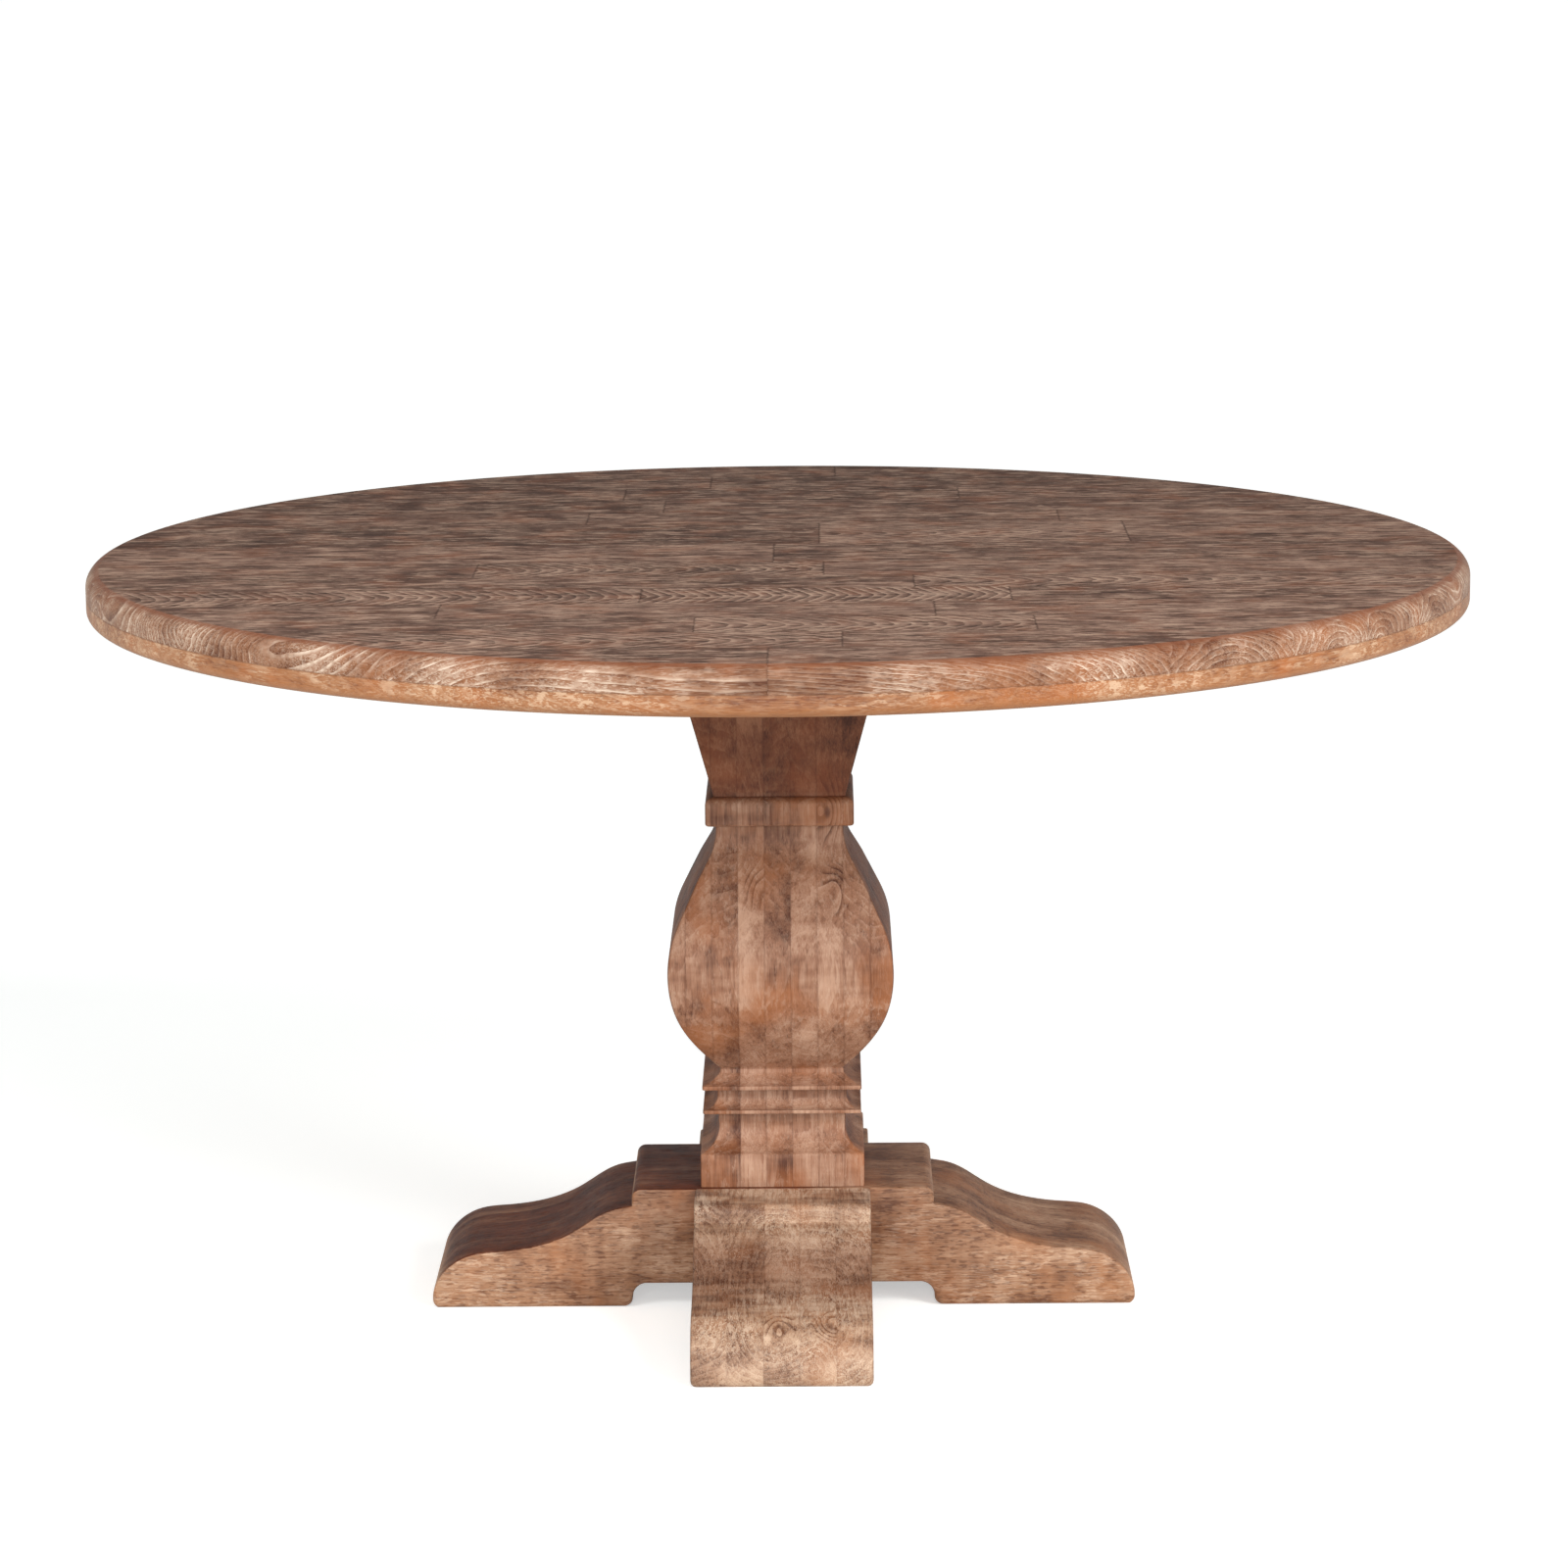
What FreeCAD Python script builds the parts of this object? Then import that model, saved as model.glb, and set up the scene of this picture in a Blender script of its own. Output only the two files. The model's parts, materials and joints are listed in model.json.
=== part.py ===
import FreeCAD, Part
import math
import os

# Round pedestal table in solid wood. Millimetres, +Z up, +X to the sitter's right.
# The origin is on the floor under the middle of the top; the front is towards -Y.
#
# The top is a panel of glued strips on a built-up edge ring. The column is one block of upright
# boards, cut on all four sides to the same outline. The base is two laminated rails that cross in a
# half lap. Bolts and screws hold the three together, so the table comes apart for carriage.

# Top
TOP_RADIUS = 690.0
TABLE_HEIGHT = 762.0
PANEL_THICKNESS = 26.0
RING_THICKNESS = 21.0
RING_WIDTH = 110.0
RING_SEGMENTS = 8
TOP_EDGE_RADIUS = 17.0     # round along the top edge of the rim
TOP_EDGE_DROP = 16.5       # height of that round; less than its radius, so the flat ends in an arris
BOTTOM_EDGE_RADIUS = 9.0

PANEL_BOTTOM = TABLE_HEIGHT - PANEL_THICKNESS
TOP_UNDERSIDE = PANEL_BOTTOM - RING_THICKNESS
RING_INNER_RADIUS = TOP_RADIUS - RING_WIDTH

# Strips from front to back: the seam behind each one, then where its staves butt end to end
STRIPS = [
    (-593.0, [-4.0]),
    (-504.0, [62.0]),
    (-420.0, [-73.0, 239.0]),
    (-330.0, [-314.0, 149.0]),
    (-243.0, [-128.0, 223.0]),
    (-162.0, [133.0]),
    (-72.0, [-296.0, 46.0]),
    (53.0, [-4.0]),
    (205.0, [42.0, 358.0]),
    (290.0, [-202.0, 294.0]),
    (388.0, [-124.0]),
    (484.0, [-170.0, 194.0]),
    (584.0, [-78.0]),
    (TOP_RADIUS, [60.0]),
]

# Under the top
CLEAT_X = 330.0
CLEAT_WIDTH = 60.0
CLEAT_LENGTH = 880.0
CLEAT_CHAMFER = 3.0
PLATE_SIDE = 420.0
PLATE_CORNER_RADIUS = 18.0

# Base
RAIL_WIDTH = 177.0
RAIL_BOARDS = 5
RAIL_HALF_LENGTH = 357.0   # to the front of the toe
BLOCK_TOP = 124.0
BLOCK_HALF_LENGTH = 153.0
BLOCK_ROUND = 9.0
STEP_BOTTOM = 106.5
ARCH_HEIGHT = 24.8
ARCH_FOOT = (162.0, 0.0)   # where the sole's rounded inner end leaves the floor
ARCH_WALL = (153.5, 9.0)   # where that round turns into the hollow of the arch
ARCH_END = (140.0, ARCH_HEIGHT)
QUARTER_TURN = 0.2         # how far a near-quarter arc stands off its chord, as a part of the chord
TOE_HALF_LENGTH = 352.0    # where the toe meets the floor
FOOT_OGEE = [
    (165.0, 104.5), (181.0, 99.5), (212.0, 80.5), (245.0, 67.0),
    (292.0, 59.7), (317.0, 56.5), (340.0, 44.0), (352.5, 28.0), (RAIL_HALF_LENGTH, 8.0),
]

# Column
COLUMN_BOARD = 26.4        # thickness of each upright board
COLUMN_BOARDS = 9
COLUMN_OFFSET = -2.7       # the block's middle board sits slightly to the left of the axis
PLINTH_HALF = 83.0
PLINTH_TOP = 157.5
PLINTH_BEVEL = 1.0
BELL_NECK = (64.5, 189.0)
LOWER_RING = (80.0, 199.6, 203.3)    # half-width, bottom, top
UPPER_RING = (80.5, 224.4, 228.4)
RING_WAIST = 65.5
RING_COVE_HEIGHT = 11.0
UPPER_COVE_HOLLOW = 0.45             # the cove under the bulb is shallower than the others
BAND = (63.0, 238.6, 242.5)          # plain band under the bulb
BULB = [
    (62.0, 243.0), (79.5, 263.0), (103.0, 300.0), (113.0, 345.0),
    (108.5, 383.0), (95.0, 415.0), (79.5, 447.0), (68.0, 469.0), (64.0, 490.5),
]
COLLAR_HALF = 74.5
COLLAR_BOTTOM = 494.5
COLLAR_TOP = 524.0
COLLAR_TOP_ROUND = 8.0
COLLAR_BOTTOM_ROUND = 3.5
NECK_BOTTOM_HALF = 66.0
NECK_TOP_HALF = 115.5

# Fasteners; spacings are from the axis, both ways
BASE_BOLT_SPACING = 30.0
BASE_BOLT_RADIUS = 5.0
BASE_BOLT_TIP = 156.0
BASE_BOLT_HEAD = (16.0, 6.4)     # across flats, thickness
BASE_WASHER = (10.5, 2.0)        # outer radius, thickness
BASE_INSERT = (8.0, 30.0)        # outer radius, length
COUNTERBORE = (13.0, 12.0)       # radius, depth
TOP_BOLT_SPACING = 180.0
TOP_BOLT_RADIUS = 4.0
TOP_BOLT_TIP = PANEL_BOTTOM + 15.0
TOP_BOLT_HEAD = (13.0, 5.3)
TOP_WASHER = (8.5, 1.6)
TOP_INSERT = (6.5, 16.0)
PLATE_SCREW_SPACING = 60.0
PLATE_SCREW = (4.0, 95.0)        # shank radius, length
CLEAT_SCREW_PITCH = 180.0
CLEAT_SCREWS = 5                 # in each cleat
CLEAT_SCREW = (2.5, 40.0)
CLEARANCE = 0.15                 # round every shank and insert

UP = FreeCAD.Vector(0, 0, 1)
BIG = 2000.0


def vec(x, y, z):
    return FreeCAD.Vector(x, y, z)


def box(x0, x1, y0, y1, z0, z1):
    return Part.makeBox(x1 - x0, y1 - y0, z1 - z0, vec(x0, y0, z0))


def cylinder(x, y, z0, z1, radius):
    return Part.makeCylinder(radius, z1 - z0, vec(x, y, z0), UP)


def hexagon(x, y, z0, z1, across_flats):
    corner = across_flats / math.sqrt(3)
    angles = [math.radians(60 * i) for i in range(7)]
    points = [vec(x + corner * math.cos(a), y + corner * math.sin(a), z0) for a in angles]
    return Part.Face(Part.makePolygon(points)).extrude(vec(0, 0, z1 - z0))


def save(name, solids):
    """Writes one node, which may hold several separate solids."""
    shape = solids[0] if len(solids) == 1 else Part.makeCompound(solids)
    shape.exportStep(f"parts/{name}.step")


def save_pieces(name, shape):
    """Writes what a cut has left of a piece, as separate solids."""
    save(name, [Part.Solid(solid) for solid in shape.Solids])


def line(a, b):
    return Part.LineSegment(vec(a[0], 0, a[1]), vec(b[0], 0, b[1])).toShape()


def arc(a, middle, b):
    """An arc in the XZ plane through three (x, z) points."""
    points = [vec(x, 0, z) for x, z in (a, middle, b)]
    return Part.Arc(*points).toShape()


def curve(points):
    """A smooth curve in the XZ plane through (x, z) points."""
    spline = Part.BSplineCurve()
    spline.interpolate([vec(x, 0, z) for x, z in points])
    return spline.toShape()


def between(a, b, bulge):
    """The point off the middle of a to b, to the right of the way, by bulge times their distance."""
    dx, dz = b[0] - a[0], b[1] - a[1]
    return ((a[0] + b[0]) / 2 + bulge * dz, (a[1] + b[1]) / 2 - bulge * dx)


def round_corner(centre, radius, start, end):
    """A circular arc in the XZ plane between two angles in degrees."""
    x, z = centre
    angles = [math.radians(start + (end - start) * part) for part in (0, 0.5, 1)]
    return arc(*[(x + radius * math.cos(a), z + radius * math.sin(a)) for a in angles])


def polyline(points):
    return [line(a, b) for a, b in zip(points, points[1:])]


# ---------------------------------------------------------------- top

def panel_disc():
    """The upper layer of the top as one disc, before it is cut into staves."""
    round_x = TOP_RADIUS - TOP_EDGE_RADIUS
    round_z = TABLE_HEIGHT - TOP_EDGE_DROP
    arris_angle = math.degrees(math.asin(TOP_EDGE_DROP / TOP_EDGE_RADIUS))
    arris_x = round_x + TOP_EDGE_RADIUS * math.cos(math.radians(arris_angle))
    edges = polyline([(0, PANEL_BOTTOM), (TOP_RADIUS, PANEL_BOTTOM), (TOP_RADIUS, round_z)])
    edges.append(round_corner((round_x, round_z), TOP_EDGE_RADIUS, 0, arris_angle))
    edges += polyline([(arris_x, TABLE_HEIGHT), (0, TABLE_HEIGHT), (0, PANEL_BOTTOM)])
    return Part.Face(Part.Wire(edges)).revolve(vec(0, 0, 0), UP, 360)


def top_strips(holes):
    """Cuts the disc into strips, and each strip into its staves."""
    disc = panel_disc().cut(holes)
    front = -TOP_RADIUS
    for number, (back, joints) in enumerate(STRIPS, 1):
        ends = [-TOP_RADIUS] + joints + [TOP_RADIUS]
        staves = [
            disc.common(box(left, right, front, back, PANEL_BOTTOM, TABLE_HEIGHT)).Solids[0]
            for left, right in zip(ends, ends[1:])
        ]
        save(f"top_strip_{number:02d}", staves)
        front = back


def edge_ring():
    """The built-up lower layer of the rim; segment 1 is at the front."""
    z0, z1 = TOP_UNDERSIDE, PANEL_BOTTOM
    round_x = TOP_RADIUS - BOTTOM_EDGE_RADIUS
    round_z = z0 + BOTTOM_EDGE_RADIUS
    edges = polyline([(RING_INNER_RADIUS, z1), (RING_INNER_RADIUS, z0), (round_x, z0)])
    edges.append(round_corner((round_x, round_z), BOTTOM_EDGE_RADIUS, -90, 0))
    edges += polyline([(TOP_RADIUS, round_z), (TOP_RADIUS, z1), (RING_INNER_RADIUS, z1)])
    section = Part.Face(Part.Wire(edges))
    sweep = 360 / RING_SEGMENTS
    for number in range(1, RING_SEGMENTS + 1):
        segment = section.revolve(vec(0, 0, 0), UP, sweep)
        start = -90 - sweep / 2 + (number - 1) * sweep
        segment.rotate(vec(0, 0, 0), UP, start)
        save(f"edge_ring_segment_{number}", [segment])


def cleats():
    half = CLEAT_LENGTH / 2
    for name, x in (("left", -CLEAT_X), ("right", CLEAT_X)):
        x0, x1 = x - CLEAT_WIDTH / 2, x + CLEAT_WIDTH / 2
        cleat = box(x0, x1, -half, half, TOP_UNDERSIDE, PANEL_BOTTOM)
        lower_edges = [e for e in cleat.Edges if e.Length > half and e.BoundBox.ZMax < PANEL_BOTTOM]
        cleat = cleat.makeChamfer(CLEAT_CHAMFER, lower_edges).cut(cleat_screws(CLEARANCE))
        save(f"top_cleat_{name}", [cleat])


def top_plate():
    """The square plate between column and top."""
    half = PLATE_SIDE / 2
    plate = box(-half, half, -half, half, TOP_UNDERSIDE, PANEL_BOTTOM)
    upright = [e for e in plate.Edges if abs(e.Length - RING_THICKNESS) < 0.01]
    plate = plate.makeFillet(PLATE_CORNER_RADIUS, upright)
    plate = plate.cut(top_bolts(CLEARANCE)).cut(plate_screws(CLEARANCE))
    save("pedestal_top_plate", [plate])


# ---------------------------------------------------------------- column

def cove(narrow, wide, hollow=1.0):
    """A hollow between a narrow and a wide point: a quarter turn at 1, almost straight near 0."""
    (x0, z0), (x1, z1) = narrow, wide
    turn = math.radians(45)
    deepest = (x1 - (x1 - x0) * math.cos(turn), z0 - (z0 - z1) * math.sin(turn))
    flat = ((x0 + x1) / 2, (z0 + z1) / 2)
    middle = tuple(a + (b - a) * hollow for a, b in zip(flat, deepest))
    return arc(narrow, middle, wide)


def ring_outline(waist, ring, cove_top, hollow=1.0):
    """A waist, the ring that stands out over it, and the cove back in to the next waist."""
    half, bottom, top = ring
    edges = polyline([waist, (waist[0], bottom), (half, bottom), (half, top)])
    edges.append(cove(cove_top, (half, top), hollow))
    return edges


def column_outline():
    """Right-hand outline of the column from plinth to neck, as edges in the XZ plane."""
    plinth_edge = (PLINTH_HALF - PLINTH_BEVEL, PLINTH_TOP + PLINTH_BEVEL)
    ring_waist = (RING_WAIST, LOWER_RING[2] + RING_COVE_HEIGHT)
    band_half, band_bottom, band_top = BAND
    band_foot = (band_half, band_bottom)
    edges = polyline([(PLINTH_HALF, BLOCK_TOP), (PLINTH_HALF, PLINTH_TOP), plinth_edge])
    edges.append(cove(BELL_NECK, plinth_edge))
    edges += ring_outline(BELL_NECK, LOWER_RING, ring_waist)
    edges += ring_outline(ring_waist, UPPER_RING, band_foot, UPPER_COVE_HOLLOW)
    edges += polyline([band_foot, (band_half, band_top), (BULB[0][0], band_top), BULB[0]])
    edges.append(curve(BULB))
    edges += collar_outline()
    edges.append(line((NECK_BOTTOM_HALF, COLLAR_TOP), (NECK_TOP_HALF, TOP_UNDERSIDE)))
    return edges


def collar_outline():
    """From the top of the bulb round the collar to the foot of the neck."""
    low_x, high_x = COLLAR_HALF - COLLAR_BOTTOM_ROUND, COLLAR_HALF - COLLAR_TOP_ROUND
    low_z, high_z = COLLAR_BOTTOM + COLLAR_BOTTOM_ROUND, COLLAR_TOP - COLLAR_TOP_ROUND
    edges = polyline([BULB[-1], (BULB[-1][0], COLLAR_BOTTOM), (low_x, COLLAR_BOTTOM)])
    edges.append(round_corner((low_x, low_z), COLLAR_BOTTOM_ROUND, -90, 0))
    edges.append(line((COLLAR_HALF, low_z), (COLLAR_HALF, high_z)))
    edges.append(round_corner((high_x, high_z), COLLAR_TOP_ROUND, 0, 90))
    edges.append(line((high_x, COLLAR_TOP), (NECK_BOTTOM_HALF, COLLAR_TOP)))
    return edges


def outline_slab():
    """The outline filled from side to side and pushed through front to back."""
    right = Part.Wire(column_outline())
    left = right.mirror(vec(0, 0, 0), vec(1, 0, 0))
    bottom = line((-PLINTH_HALF, BLOCK_TOP), (PLINTH_HALF, BLOCK_TOP))
    top = line((-NECK_TOP_HALF, TOP_UNDERSIDE), (NECK_TOP_HALF, TOP_UNDERSIDE))
    loop = Part.Wire(Part.__sortEdges__(right.Edges + left.Edges + [bottom, top]))
    slab = Part.Face(loop).extrude(vec(0, 3 * NECK_TOP_HALF, 0))
    slab.translate(vec(0, -1.5 * NECK_TOP_HALF, 0))
    return slab


def column_boards():
    """Cuts the column block into its upright boards.

    The outer boards are cut through wherever the column is narrower than they are, so each of
    those nodes holds a separate solid for every moulding that still reaches the board.
    """
    front_view = outline_slab()
    side_view = outline_slab()
    side_view.rotate(vec(0, 0, 0), UP, 90)
    block = front_view.common(side_view)
    block = block.cut(base_bolts(CLEARANCE)).cut(base_inserts(CLEARANCE)).cut(plate_screws(CLEARANCE))
    first = COLUMN_OFFSET - COLUMN_BOARD * COLUMN_BOARDS / 2
    for number in range(1, COLUMN_BOARDS + 1):
        left = first + (number - 1) * COLUMN_BOARD
        board = block.common(box(left, left + COLUMN_BOARD, -BIG, BIG, 0, TABLE_HEIGHT))
        save_pieces(f"column_board_{number}", board)


# ---------------------------------------------------------------- base

def rail_outline():
    """Right-hand outline of a base rail from the top of its block round the toe to the arch."""
    block_x = BLOCK_HALF_LENGTH - BLOCK_ROUND
    edges = [line((0, BLOCK_TOP), (block_x, BLOCK_TOP))]
    edges.append(round_corner((block_x, BLOCK_TOP - BLOCK_ROUND), BLOCK_ROUND, 90, 0))
    edges += polyline([
        (BLOCK_HALF_LENGTH, BLOCK_TOP - BLOCK_ROUND), (BLOCK_HALF_LENGTH, STEP_BOTTOM), FOOT_OGEE[0],
    ])
    edges.append(curve(FOOT_OGEE))
    toe_x, toe_z = FOOT_OGEE[-1]
    toe_middle = ((TOE_HALF_LENGTH + toe_x) / 2 + 0.7, toe_z / 3)
    edges.append(arc((toe_x, toe_z), toe_middle, (TOE_HALF_LENGTH, 0)))
    edges.append(line((TOE_HALF_LENGTH, 0), ARCH_FOOT))
    edges.append(arc(ARCH_FOOT, between(ARCH_FOOT, ARCH_WALL, -QUARTER_TURN), ARCH_WALL))
    edges.append(arc(ARCH_WALL, between(ARCH_WALL, ARCH_END, QUARTER_TURN), ARCH_END))
    edges.append(line(ARCH_END, (0, ARCH_HEIGHT)))
    return edges


def rail():
    """One whole rail along X, before the lap and before it is cut into boards."""
    right = Part.Wire(rail_outline())
    left = right.mirror(vec(0, 0, 0), vec(1, 0, 0))
    loop = Part.Wire(Part.__sortEdges__(right.Edges + left.Edges))
    body = Part.Face(loop).extrude(vec(0, RAIL_WIDTH, 0))
    body.translate(vec(0, -RAIL_WIDTH / 2, 0))
    return body


def base_rails():
    """Two rails that cross in a half lap: the side one keeps its upper half there."""
    half = RAIL_WIDTH / 2
    lap = (BLOCK_TOP + ARCH_HEIGHT) / 2
    drill = base_bolts(CLEARANCE).fuse(base_counterbores())
    side = rail().cut(box(-half, half, -half, half, ARCH_HEIGHT, lap)).cut(drill)
    front = rail()
    front.rotate(vec(0, 0, 0), UP, 90)
    front = front.cut(box(-half, half, -half, half, lap, BLOCK_TOP)).cut(drill)
    board = RAIL_WIDTH / RAIL_BOARDS
    for number in range(1, RAIL_BOARDS + 1):
        low = -half + (number - 1) * board
        side_board = side.common(box(-BIG, BIG, low, low + board, 0, BLOCK_TOP))
        save_pieces(f"side_rail_board_{number}", side_board)
        front_board = front.common(box(low, low + board, -BIG, BIG, 0, BLOCK_TOP))
        save_pieces(f"front_rail_board_{number}", front_board)


# ---------------------------------------------------------------- fasteners

def corners(spacing):
    return [(sx * spacing, sy * spacing) for sx in (-1, 1) for sy in (-1, 1)]


def top_bolt_places():
    """The plate's corners and the middles of its sides."""
    far = TOP_BOLT_SPACING
    return corners(far) + [(-far, 0), (far, 0), (0, -far), (0, far)]


def cleat_screw_places():
    first = -CLEAT_SCREW_PITCH * (CLEAT_SCREWS - 1) / 2
    rows = [first + CLEAT_SCREW_PITCH * i for i in range(CLEAT_SCREWS)]
    return [(x, y) for x in (-CLEAT_X, CLEAT_X) for y in rows]


def countersunk_screw(x, y, face, tip, radius):
    """A screw whose head is level with face and whose point is at tip."""
    way = 1 if tip > face else -1
    axis = vec(0, 0, way)
    neck = face + way * radius
    shoulder = tip - way * 2 * radius
    head = Part.makeCone(2 * radius, radius, radius, vec(x, y, face), axis)
    shank = cylinder(x, y, *sorted((neck, shoulder)), radius)
    point = Part.makeCone(radius, 0.2 * radius, 2 * radius, vec(x, y, shoulder), axis)
    return head.fuse([shank, point]).removeSplitter()


def upright_rods(places, bottom, top, radius):
    return Part.makeCompound([cylinder(x, y, bottom, top, radius) for x, y in places])


def base_bolts(extra=0.0):
    """Shanks of the base bolts; extra widens them into the holes they pass through."""
    bottom = ARCH_HEIGHT + COUNTERBORE[1]
    return upright_rods(corners(BASE_BOLT_SPACING), bottom, BASE_BOLT_TIP + extra, BASE_BOLT_RADIUS + extra)


def base_inserts(extra=0.0):
    """Threaded sleeves let into the foot of the column."""
    radius, length = BASE_INSERT
    return upright_rods(corners(BASE_BOLT_SPACING), BLOCK_TOP, BLOCK_TOP + length + extra, radius + extra)


def base_counterbores():
    radius, depth = COUNTERBORE
    return upright_rods(corners(BASE_BOLT_SPACING), ARCH_HEIGHT - 1, ARCH_HEIGHT + depth, radius)


def top_bolts(extra=0.0):
    return upright_rods(top_bolt_places(), TOP_UNDERSIDE, TOP_BOLT_TIP, TOP_BOLT_RADIUS + extra)


def top_inserts(extra=0.0):
    """Threaded sleeves let into the underside of the panel."""
    radius, length = TOP_INSERT
    return upright_rods(top_bolt_places(), PANEL_BOTTOM, PANEL_BOTTOM + length + extra, radius + extra)


def plate_screws(extra=0.0):
    """Long screws down through the plate into the neck."""
    radius, length = PLATE_SCREW
    screws = [
        countersunk_screw(x, y, PANEL_BOTTOM, PANEL_BOTTOM - length, radius + extra)
        for x, y in corners(PLATE_SCREW_SPACING)
    ]
    return Part.makeCompound(screws)


def cleat_screws(extra=0.0):
    radius, length = CLEAT_SCREW
    screws = [
        countersunk_screw(x, y, TOP_UNDERSIDE, TOP_UNDERSIDE + length, radius + extra)
        for x, y in cleat_screw_places()
    ]
    return Part.makeCompound(screws)


def headed_bolts(shanks, places, face, washer, head):
    """Adds a hexagon head under the washer to each shank."""
    seat = face - washer[1]
    across_flats, thickness = head
    bolts = []
    for shank, (x, y) in zip(shanks.Solids, places):
        through_washer = cylinder(x, y, seat, face, shank.BoundBox.XLength / 2)
        block = hexagon(x, y, seat - thickness, seat, across_flats)
        bolts.append(shank.fuse([through_washer, block]).removeSplitter())
    return bolts


def washers(places, face, washer, hole):
    radius, thickness = washer
    discs = [cylinder(x, y, face - thickness, face, radius) for x, y in places]
    bores = upright_rods(places, face - thickness, face, hole)
    return [disc.cut(bores) for disc in discs]


def sleeves(blanks, shanks):
    """Bores each insert for its bolt."""
    return [blank.cut(shanks) for blank in blanks.Solids]


def base_fasteners():
    places = corners(BASE_BOLT_SPACING)
    face = ARCH_HEIGHT + COUNTERBORE[1]
    save("base_bolts", headed_bolts(base_bolts(), places, face, BASE_WASHER, BASE_BOLT_HEAD))
    save("base_washers", washers(places, face, BASE_WASHER, BASE_BOLT_RADIUS + CLEARANCE))
    save("base_inserts", sleeves(base_inserts(), base_bolts(CLEARANCE)))


def top_fasteners():
    places = top_bolt_places()
    face = TOP_UNDERSIDE
    save("top_bolts", headed_bolts(top_bolts(), places, face, TOP_WASHER, TOP_BOLT_HEAD))
    save("top_washers", washers(places, face, TOP_WASHER, TOP_BOLT_RADIUS + CLEARANCE))
    save("top_inserts", sleeves(top_inserts(), top_bolts(CLEARANCE)))
    save("plate_screws", plate_screws().Solids)
    save("cleat_screws", cleat_screws().Solids)


def panel_holes():
    """Everything that is sunk into the underside of the panel."""
    return Part.makeCompound(top_inserts(CLEARANCE).Solids + cleat_screws(CLEARANCE).Solids)


os.makedirs("parts", exist_ok=True)
top_strips(panel_holes())
edge_ring()
cleats()
top_plate()
column_boards()
base_rails()
base_fasteners()
top_fasteners()
print("wrote", len(os.listdir("parts")), "nodes")
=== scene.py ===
# %% [markdown]
# # A round pedestal table in limed wood
# The table is a joiner's piece: a thick round top of glued strips, a square column cut from one
# block of upright boards, and a base of two crossed rails that end in four ogee feet. The engineering
# model already has every piece at its true size. Here each visible board gets a finished mesh and its
# own wood, because a table is judged by its edges and its grain.

# %% Load the frame
import json
import math
import random

import bmesh
import bpy
from mathutils import Euler, Matrix, Vector


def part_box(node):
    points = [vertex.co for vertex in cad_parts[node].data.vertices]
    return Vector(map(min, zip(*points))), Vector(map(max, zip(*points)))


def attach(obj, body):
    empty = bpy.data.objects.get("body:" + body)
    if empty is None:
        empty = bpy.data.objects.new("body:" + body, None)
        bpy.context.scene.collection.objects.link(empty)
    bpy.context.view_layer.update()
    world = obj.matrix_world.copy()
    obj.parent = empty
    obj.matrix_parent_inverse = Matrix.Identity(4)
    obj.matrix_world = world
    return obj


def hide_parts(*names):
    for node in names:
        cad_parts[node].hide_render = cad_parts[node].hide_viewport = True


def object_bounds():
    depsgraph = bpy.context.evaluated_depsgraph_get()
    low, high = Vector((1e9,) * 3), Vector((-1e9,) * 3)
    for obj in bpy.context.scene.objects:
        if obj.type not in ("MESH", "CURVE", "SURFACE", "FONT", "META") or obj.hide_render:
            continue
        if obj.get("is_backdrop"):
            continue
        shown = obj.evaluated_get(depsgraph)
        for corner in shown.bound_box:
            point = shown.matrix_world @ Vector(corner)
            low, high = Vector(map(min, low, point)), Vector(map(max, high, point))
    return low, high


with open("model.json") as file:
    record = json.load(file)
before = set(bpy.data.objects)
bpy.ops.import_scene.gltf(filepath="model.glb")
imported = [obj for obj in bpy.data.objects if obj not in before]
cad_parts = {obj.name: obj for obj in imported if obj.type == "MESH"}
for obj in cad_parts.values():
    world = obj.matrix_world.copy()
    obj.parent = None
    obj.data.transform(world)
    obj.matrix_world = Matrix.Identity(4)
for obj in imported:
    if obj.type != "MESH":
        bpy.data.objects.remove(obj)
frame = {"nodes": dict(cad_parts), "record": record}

cad_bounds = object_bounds()
print("CAD box in metres:", [[round(v, 3) for v in corner] for corner in cad_bounds])

# %% [markdown]
# ## A helper for meshes
# Almost every step below ends in the same way: a bmesh becomes an object that rides with the table
# and stands for one engineering node. `finish_piece` does that once. It also marks as sharp only the
# edges that turn more than a given angle, so that round stretches shade smoothly and arrises stay
# crisp.

# %% Turn a bmesh into a finished piece
def finish_piece(mesh, name, node, material, sharp=30.0):
    """Makes an object of a bmesh, and lets it replace a CAD node; sharp is in degrees."""
    data = bpy.data.meshes.new(name)
    bmesh.ops.recalc_face_normals(mesh, faces=mesh.faces)
    mesh.to_mesh(data)
    mesh.free()
    data.shade_smooth()
    data.set_sharp_from_angle(angle=math.radians(sharp))
    piece = bpy.data.objects.new(name, data)
    bpy.context.scene.collection.objects.link(piece)
    data.materials.append(material)
    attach(piece, "root")
    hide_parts(node)
    return piece


slot_of = {part["node"]: part["material_slot"] for part in frame["record"]["subparts"]}
print(len(slot_of), "nodes to dress")

# %% [markdown]
# ## Reading places from the frame
# Each node of the frame is a cloud of triangles. They tell what the mesh work needs: the boxes of the
# separate solids in a node, such as the bolts of the base, the boxes of the staves that touch in one
# strip, and the outline of a flat side, such as the sawn side of a foot. Reading them here keeps the
# looks and the design in step.

# %% Read solids and outlines
SAME_PLACE = 1e-6      # points closer than this are one point
FACING = 0.9999        # how squarely a face has to look one way
FLAT = math.radians(0.4)


def merged_copy(node):
    """A node's mesh with its triangles joined up."""
    mesh = bmesh.new()
    mesh.from_mesh(frame["nodes"][node].data)
    bmesh.ops.remove_doubles(mesh, verts=mesh.verts, dist=SAME_PLACE)
    return mesh


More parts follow.
